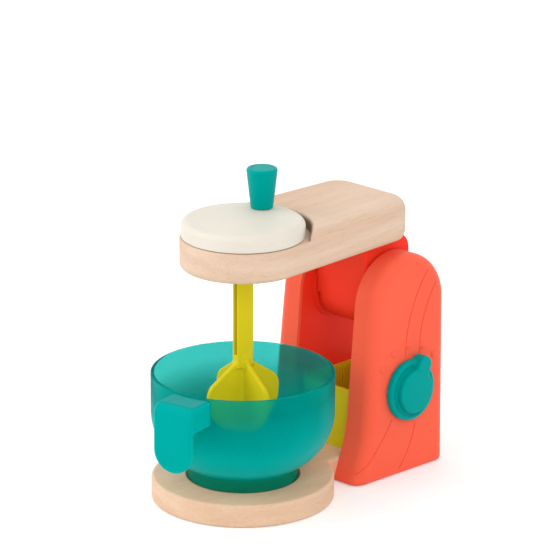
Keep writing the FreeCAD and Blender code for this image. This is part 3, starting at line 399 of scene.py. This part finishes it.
looks = {
    "base_board": base_wood,
    "head_board": head_wood,
    "bowl": bowl_look,
    # Painted shade: the inner covers and the hinge get the darker copy of the coral
    "left_inner_cover": coral_painted_shade,
    "right_inner_cover": coral_painted_shade,
    "hinge_bracket": coral_painted_shade,
    "hinge_cap": coral_painted_shade,
}
slot_looks = {
    "coral_plastic": coral,
    "teal_plastic": teal,
    "lime_plastic": lime,
    "cream_plastic": cream,
    "nylon": nylon,
    "steel": steel,
}


def dress(piece, material):
    piece.data.materials.clear()
    piece.data.materials.append(material)


for row in frame["record"]["subparts"]:
    name = row["node"]
    dress(nodes[name], looks.get(name) or slot_looks[row["material_slot"]])


# Rounded solids, given as distance fields in millimetres that are negative inside

def round_and(first, second, radius):
    """What both fields hold, with a rounded outer edge where they meet."""
    a, b = first + radius, second + radius
    return np.minimum(np.maximum(a, b), 0) + np.hypot(np.maximum(a, 0), np.maximum(b, 0)) - radius


def round_or(first, second, radius):
    """What either field holds, with a filleted inner corner where they meet."""
    a, b = radius - first, radius - second
    return np.maximum(radius, np.minimum(first, second)) - np.hypot(np.maximum(a, 0), np.maximum(b, 0))


def round_cut(first, second, radius):
    """The first field with the second taken away, its new edge rounded."""
    return round_and(first, -second, radius)


def crossings(values, axis):
    """Grid edges along the axis that leave or enter the solid, and how far along each does so."""
    lower = tuple(slice(None, -1) if n == axis else slice(None) for n in range(3))
    upper = tuple(slice(1, None) if n == axis else slice(None) for n in range(3))
    spots = np.argwhere((values[lower] < 0) != (values[upper] < 0))
    before = values[lower][tuple(spots.T)]
    after = values[upper][tuple(spots.T)]
    return spots, before / (before - after), before < 0


def net_surface(field, low, high, cell):
    """One corner per grid cell that the surface passes through, and one quad per grid edge that it cuts."""
    start = np.array(low) - 2 * cell
    ticks = [np.arange(a, b + 2 * cell, cell) for a, b in zip(start, high)]
    values = field(*np.meshgrid(*ticks, indexing="ij", sparse=True))
    keys, cuts = [], []
    for axis in range(3):
        spots, along, leaving = crossings(values, axis)
        side, other = np.eye(3, dtype=int)[[(axis + 1) % 3, (axis + 2) % 3]]
        ring = np.stack([spots, spots - side, spots - side - other, spots - other], axis=1)
        ring[~leaving] = ring[~leaving][:, ::-1]
        keys.append(np.ravel_multi_index(tuple(np.moveaxis(ring, 2, 0)), values.shape))
        cuts.append(start + cell * (spots + along[:, None] * np.eye(3)[axis]))
    cut = np.repeat(np.concatenate(cuts), 4, axis=0)
    quads = np.unique(np.concatenate(keys), return_inverse=True)[1].reshape(-1, 4)
    shared = np.bincount(quads.ravel())
    points = np.stack([np.bincount(quads.ravel(), cut[:, n]) / shared for n in range(3)], axis=1)
    return points, quads


SETTLE_ROUNDS = 3
SLOPE_STEP = 0.05
LEAST_STEEP = 0.05


def settle(field, points, reach):
    """Draws the points onto the surface and gives the outward direction at each."""
    for _ in range(SETTLE_ROUNDS):
        slope = np.stack([field(*(points + shift).T) - field(*(points - shift).T)
                          for shift in np.eye(3) * SLOPE_STEP], axis=1) / (2 * SLOPE_STEP)
        steep = np.maximum((slope ** 2).sum(axis=1), LEAST_STEEP)
        move = (field(*points.T) / steep)[:, None] * slope
        points = points - np.clip(move, -reach, reach)
    return points, slope / np.linalg.norm(slope, axis=1)[:, None]


def field_piece(name, field, low, high, cell, material, place=Matrix.Identity(4)):
    """Meshes a field in its own frame, in millimetres, and sets it at its place, in metres."""
    points, quads = net_surface(field, low, high, cell)
    points, outward = settle(field, points, cell / 2)
    turn = np.array(place.to_3x3())
    points = points @ turn.T * MM + np.array(place.translation)
    mesh = bpy.data.meshes.new(name)
    mesh.vertices.add(len(points))
    mesh.vertices.foreach_set("co", points.ravel())
    mesh.loops.add(quads.size)
    mesh.loops.foreach_set("vertex_index", quads.ravel())
    mesh.polygons.add(len(quads))
    mesh.polygons.foreach_set("loop_start", np.arange(0, quads.size, 4))
    mesh.update(calc_edges=True)
    mesh.shade_smooth()
    mesh.normals_split_custom_set_from_vertices((outward @ turn.T).tolist())
    piece = bpy.data.objects.new(name, mesh)
    bpy.context.scene.collection.objects.link(piece)
    dress(piece, material)
    return piece


def stand_for(piece, node, body):
    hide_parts(node)
    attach(piece, body)


def box_mm(node):
    low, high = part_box(node)
    return low / MM, high / MM


# Wooden head: a rounded board with a low front and a curved step behind the disc

HEAD_CELL = 0.9
HEAD_REAR_HALF_WIDTH = 32.2
HEAD_REAR_CORNER = 16.0
HEAD_TOP_EDGE = 9.0
HEAD_BOTTOM_EDGE = 3.6
HEAD_REAR_BOTTOM_EDGE = 8.0
HEAD_SOFT_RUN = 0.7 * HEAD_REAR_CORNER
HEAD_SOFT_START = 1.4 * HEAD_SOFT_RUN
HEAD_STEP_GAP = 3.4
HEAD_STEP_EDGE = 2.8
HEAD_LEDGE_EDGE = 0.8
HEAD_BORE_EDGE = 0.4
DISC_LIFT = 0.3
BUSH_SLEEVE_RADIUS = 11.0
BUSH_FLANGE_THICKNESS = 1.6
WASHER_POCKET_RADIUS = 18.1


def head_bores(radial, z):
    """The bore of the bushes, with a pocket for each flange and for the washer."""
    lower_low, lower_high = box_mm("lower_bush")
    upper_high = box_mm("upper_bush")[1]
    washer_low = box_mm("thrust_washer")[0]
    flange = radial - lower_high.x
    lower_flange = np.maximum(flange, z - (lower_low.z + BUSH_FLANGE_THICKNESS))
    upper_flange = np.maximum(flange, upper_high.z - BUSH_FLANGE_THICKNESS - z)
    washer = np.maximum(radial - WASHER_POCKET_RADIUS, washer_low.z - z)
    sleeve = radial - BUSH_SLEEVE_RADIUS
    return np.minimum(np.minimum(sleeve, washer), np.minimum(lower_flange, upper_flange))


def head_field(x, y, z):
    low, high = box_mm("head_board")
    disc_low, disc_high = box_mm("crank_disc")
    front = -low.y
    ledge = disc_low.z - DISC_LIFT
    step = disc_high.x + HEAD_STEP_GAP
    slope = math.asin((front - HEAD_REAR_HALF_WIDTH) / (high.y + front))
    along = y * math.cos(slope) - np.abs(x) * math.sin(slope)
    across = np.abs(x) * math.cos(slope) + y * math.sin(slope) - front
    radial = np.hypot(x, y)
    plan = np.where(along < 0, radial - front, round_and(across, y - high.y, HEAD_REAR_CORNER))
    rear = round_and(round_and(plan, z - high.z, HEAD_TOP_EDGE), step - radial, HEAD_STEP_EDGE)
    board = np.minimum(rear, round_and(plan, z - ledge, HEAD_LEDGE_EDGE))
    rearward = np.clip((y - high.y + HEAD_SOFT_START) / HEAD_SOFT_RUN, 0, 1)
    soft = HEAD_BOTTOM_EDGE + (HEAD_REAR_BOTTOM_EDGE - HEAD_BOTTOM_EDGE) * rearward ** 2
    board = round_and(board, low.z - z, soft)
    return round_cut(board, head_bores(radial, z), HEAD_BORE_EDGE)


def head_piece():
    low, high = box_mm("head_board")
    piece = field_piece("wooden_head", head_field, low, high, HEAD_CELL, head_wood)
    stand_for(piece, "head_board", "head")


# Beater: a double-T shaft that flares into four flat blades with soft rims

BEATER_CELL = 0.5
BEATER_TURN = math.radians(9.7)
SHAFT_HALF_WIDTH = 5.85
SHAFT_HALF_DEPTH = 3.2
SHAFT_FLANGE = 1.5
SHAFT_HALF_WEB = 1.2
SHAFT_EDGE = 0.7
SHAFT_END_EDGE = 0.6
SHAFT_OVERLAP = 7.0
CHANNEL_FOOT = 0.8
CHANNEL_EDGE = 0.3
BLADE_RADIUS = 27.0
BLADE_HALF_THICKNESS = 1.6
BLADE_RIM_EDGE = 1.1
BLADE_SHOULDER_Z = 74.8
BLADE_SHOULDER_EDGE = 4.0
BLADE_SIDE_BOTTOM_Z = 62.7
BLADE_BOTTOM_EDGE = 1.5
BLADE_ROOT_FILLET = 1.2
NECK_Z = 93.2
NECK_FILLET = 2.2
CORE_RADIUS = 3.1
CORE_TOP_EDGE = 1.0
CORE_BOTTOM_EDGE = 1.5
CORE_REACH_DOWN = 12.0
PLUG_HALF_SIDE = 3.6
PLUG_EDGE = 0.6
PLUG_END_EDGE = 0.4
PLUG_OVERLAP = 1.0


def blade_field(reach, across, z):
    """One blade seen from its flat side: sloping shoulders, short upright sides and a round bottom."""
    bottom = box_mm("beater")[0].z
    rise = BLADE_SIDE_BOTTOM_Z - bottom
    radius = (BLADE_RADIUS ** 2 + rise ** 2) / (2 * rise)
    centre = bottom + radius
    side = np.abs(reach) - BLADE_RADIUS
    drop = NECK_Z - BLADE_SHOULDER_Z
    shoulder = ((z - BLADE_SHOULDER_Z) * BLADE_RADIUS + side * drop) / math.hypot(BLADE_RADIUS, drop)
    round_end = np.where(z < centre, np.hypot(reach, z - centre), np.abs(reach)) - radius
    outline = round_and(round_and(side, shoulder, BLADE_SHOULDER_EDGE), round_end, BLADE_BOTTOM_EDGE)
    return round_and(outline, np.abs(across) - BLADE_HALF_THICKNESS, BLADE_RIM_EDGE)


def shaft_field(depth, width, z, top):
    """The bar with a channel down each of its two sides."""
    bar = round_and(np.abs(depth) - SHAFT_HALF_DEPTH, np.abs(width) - SHAFT_HALF_WIDTH, SHAFT_EDGE)
    bar = round_and(bar, z - top, SHAFT_END_EDGE)
    channel = np.maximum(np.abs(depth) - (SHAFT_HALF_DEPTH - SHAFT_FLANGE), SHAFT_HALF_WEB - np.abs(width))
    channel = np.maximum(channel, np.maximum(NECK_Z + CHANNEL_FOOT - z, z - (top - SHAFT_FLANGE)))
    return np.maximum(round_cut(bar, channel, CHANNEL_EDGE), NECK_Z - SHAFT_OVERLAP - z)


def beater_field(x, y, z):
    depth = x * math.cos(BEATER_TURN) - y * math.sin(BEATER_TURN)
    width = x * math.sin(BEATER_TURN) + y * math.cos(BEATER_TURN)
    top = box_mm("beater")[1].z
    shaft_top = box_mm("head_board")[0].z - DISC_LIFT
    blades = round_or(blade_field(depth, width, z), blade_field(width, depth, z), BLADE_ROOT_FILLET)
    core = round_and(np.hypot(depth, width) - CORE_RADIUS, z - NECK_Z, CORE_TOP_EDGE)
    core = round_and(core, BLADE_SIDE_BOTTOM_Z - CORE_REACH_DOWN - z, CORE_BOTTOM_EDGE)
    blades = round_or(blades, core, BLADE_ROOT_FILLET)
    plug = round_and(np.abs(depth) - PLUG_HALF_SIDE, np.abs(width) - PLUG_HALF_SIDE, PLUG_EDGE)
    plug = round_and(plug, np.maximum(z - top, shaft_top - PLUG_OVERLAP - z), PLUG_END_EDGE)
    return np.minimum(round_or(shaft_field(depth, width, z, shaft_top), blades, NECK_FILLET), plug)


def beater_piece():
    low, high = box_mm("beater")
    piece = field_piece("paddle", beater_field, low, high, BEATER_CELL, lime)
    stand_for(piece, "beater", "beater")


# Dial: a rounded ring, a valley, a domed boss and a pointer that runs over the ring

DIAL_CELL = 0.4
RING_RADIUS = 20.0
RING_HEIGHT = 4.5
RING_EDGE = 2.1
VALLEY_RADIUS = 15.4
VALLEY_ROUND = 1.3
VALLEY_LIFT = 0.5
VALLEY_EDGE = 1.2
BOSS_RADIUS = 14.3
BOSS_HEIGHT = 9.0
BOSS_CROWN = 0.6
BOSS_EDGE = 1.3
BOSS_FILLET = 0.6
POINTER_HALF_WIDTH = 5.6
POINTER_REACH = 23.6
POINTER_HEIGHT = 8.5
POINTER_TURN = math.radians(26)
POINTER_OVERLAP = 3.5
POINTER_ROOT_EDGE = 1.0
POINTER_TOP_EDGE = 1.6
POINTER_FILLET = 1.2
DIAL_SEAT = 0.3
DIAL_SEAT_EDGE = 0.3
STUB_RADIUS = 5.0
STUB_DEPTH = 2.9
STUB_OVERLAP = 1.0
SCREW_HOLE_RADIUS = 1.5
SCREW_HOLE_END = 3.0


def dial_field(x, y, z):
    radial = np.hypot(y, z)
    ring = round_and(radial - RING_RADIUS, x - RING_HEIGHT, RING_EDGE)
    valley = np.hypot(radial - VALLEY_RADIUS, x - RING_HEIGHT - VALLEY_LIFT) - VALLEY_ROUND
    ring = round_cut(ring, valley, VALLEY_EDGE)
    crown = BOSS_HEIGHT - BOSS_CROWN * (radial / BOSS_RADIUS) ** 2
    boss = round_and(radial - BOSS_RADIUS, x - crown, BOSS_EDGE)
    out = y * math.sin(POINTER_TURN) + z * math.cos(POINTER_TURN)
    across = y * math.cos(POINTER_TURN) - z * math.sin(POINTER_TURN)
    end = POINTER_REACH - POINTER_HALF_WIDTH
    bar = np.hypot(across, np.maximum(out - end, 0)) - POINTER_HALF_WIDTH
    bar = round_and(bar, BOSS_RADIUS - POINTER_OVERLAP - out, POINTER_ROOT_EDGE)
    pointer = round_and(bar, x - POINTER_HEIGHT, POINTER_TOP_EDGE)
    body = round_or(round_or(ring, boss, BOSS_FILLET), pointer, POINTER_FILLET)
    body = round_and(body, DIAL_SEAT - x, DIAL_SEAT_EDGE)
    stub = np.maximum(radial - STUB_RADIUS, np.maximum(-STUB_DEPTH - x, x - STUB_OVERLAP))
    hole = np.maximum(radial - SCREW_HOLE_RADIUS, x - SCREW_HOLE_END)
    return np.maximum(np.minimum(body, stub), -hole)


def dial_place():
    """The dial's frame, with X along its axis."""
    joint = next(j for j in frame["joints"] if j["name"] == "dial_turn")
    turn = Vector((1, 0, 0)).rotation_difference(Vector(joint["axis"]))
    return Matrix.Translation(joint["pos_m"]) @ turn.to_matrix().to_4x4()


def dial_piece():
    low = (-STUB_DEPTH, -RING_RADIUS, -RING_RADIUS)
    high = (BOSS_HEIGHT, POINTER_REACH, POINTER_REACH)
    piece = field_piece("click_dial", dial_field, low, high, DIAL_CELL, teal, dial_place())
    stand_for(piece, "dial_knob", "dial")


# Click dots on the column round the dial: shallow domes

DOT_CELL = 0.35
DOT_COUNT = 5
DOT_STEP = math.radians(26)
DOT_ORBIT = 29.4
DOT_RADIUS = 2.6
DOT_HEIGHT = 1.5
DOT_ROOT = -0.8


def dots_field(x, y, z):
    ball = (DOT_RADIUS ** 2 + DOT_HEIGHT ** 2) / (2 * DOT_HEIGHT)
    domes = []
    for index in range(DOT_COUNT):
        angle = (index - (DOT_COUNT - 1) / 2) * DOT_STEP
        across, up = y - DOT_ORBIT * math.sin(angle), z - DOT_ORBIT * math.cos(angle)
        domes.append(np.sqrt((x - DOT_HEIGHT + ball) ** 2 + across ** 2 + up ** 2) - ball)
    return np.maximum(np.minimum.reduce(domes), DOT_ROOT - x)


def dots_piece():
    reach = DOT_ORBIT + DOT_RADIUS
    low, high = (DOT_ROOT, -reach, 0), (DOT_HEIGHT, reach, reach)
    piece = field_piece("click_dots", dots_field, low, high, DOT_CELL, coral, dial_place())
    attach(piece, "stand")


head_piece()
beater_piece()
dial_piece()
dots_piece()


# Floor and lights

FLOOR_SIZE = 8
FLOOR_DROP = 0.0003
FLOOR_GREY = (0.92, 0.92, 0.92)
FLOOR_ROUGHNESS = 0.9
FLOOR_GLOW = 0.22
WORLD_LIGHT = 0.84
WORLD_SEEN = 1.0
LAMP_AIM = (0.0, 0.04, 0.09)
# Name, place, side and watts of each square softbox
LAMPS = [
    ("key_light", (1.5, -0.9, 1.1), 1.2, 8),
    ("fill_light", (-1.5, -1.3, 1.1), 1.2, 15),
    ("top_light", (0.0, 0.3, 1.9), 1.8, 3),
]


def stage_floor():
    bpy.ops.mesh.primitive_plane_add(size=FLOOR_SIZE, location=(0, 0, -FLOOR_DROP))
    floor = bpy.context.object
    floor.name = "floor"
    g = new_look("floor_look")
    g.put("Base Color", FLOOR_GREY)
    g.put("Roughness", FLOOR_ROUGHNESS)
    glow = g.node("ShaderNodeEmission", Color=WHITE, Strength=g.times(g.seen(), FLOOR_GLOW))
    g.surface(g.node("ShaderNodeAddShader", {0: g.shader.outputs[0], 1: glow.outputs[0]}).outputs[0])
    dress(floor, g.owner)


def softbox(name, place, side, watts):
    data = bpy.data.lights.new(name, "AREA")
    data.shape = "RECTANGLE"
    data.size = data.size_y = side
    data.energy = watts
    lamp = bpy.data.objects.new(name, data)
    lamp.location = place
    lamp.rotation_mode = "QUATERNION"
    lamp.rotation_quaternion = (Vector(LAMP_AIM) - Vector(place)).to_track_quat("-Z", "Y")
    bpy.context.scene.collection.objects.link(lamp)


def studio():
    world = bpy.data.worlds.new("studio")
    bpy.context.scene.world = world
    g = Graph(world, "Background")
    g.put("Color", WHITE)
    g.put("Strength", g.span(g.seen(), WORLD_LIGHT, WORLD_SEEN))
    for lamp in LAMPS:
        softbox(*lamp)


# Camera, fitted to the photograph's viewpoint

CAMERA_PLACE = (1.57382, -1.58326, 0.86797)
CAMERA_AZIMUTH = math.radians(44.29)
CAMERA_ELEVATION = math.radians(18.09)
CAMERA_ROLL = math.radians(0.24)
SENSOR_WIDTH = 36.0
FRAME_PIXELS = 560.0
FOCAL_PIXELS = 3792.0
PRINCIPAL_POINT = (276.97, 285.28)


def photo_camera():
    data = bpy.data.cameras.new("photo_camera")
    data.sensor_width = SENSOR_WIDTH
    data.lens = FOCAL_PIXELS / FRAME_PIXELS * SENSOR_WIDTH
    data.shift_x = (FRAME_PIXELS / 2 - PRINCIPAL_POINT[0]) / FRAME_PIXELS
    data.shift_y = (PRINCIPAL_POINT[1] - FRAME_PIXELS / 2) / FRAME_PIXELS
    data.clip_start, data.clip_end = 0.1, 20.0
    back = Vector((math.sin(CAMERA_AZIMUTH) * math.cos(CAMERA_ELEVATION),
                   -math.cos(CAMERA_AZIMUTH) * math.cos(CAMERA_ELEVATION), math.sin(CAMERA_ELEVATION)))
    right = Vector((math.cos(CAMERA_AZIMUTH), math.sin(CAMERA_AZIMUTH), 0))
    up = back.cross(right)
    rolled_right = right * math.cos(CAMERA_ROLL) + up * math.sin(CAMERA_ROLL)
    rolled_up = up * math.cos(CAMERA_ROLL) - right * math.sin(CAMERA_ROLL)
    camera = bpy.data.objects.new("photo_camera", data)
    turn = Matrix((rolled_right, rolled_up, back)).transposed().to_4x4()
    camera.matrix_world = Matrix.Translation(CAMERA_PLACE) @ turn
    bpy.context.scene.collection.objects.link(camera)
    bpy.context.scene.camera = camera


stage_floor()
studio()
photo_camera()
bpy.context.scene.view_settings.view_transform = "Standard"
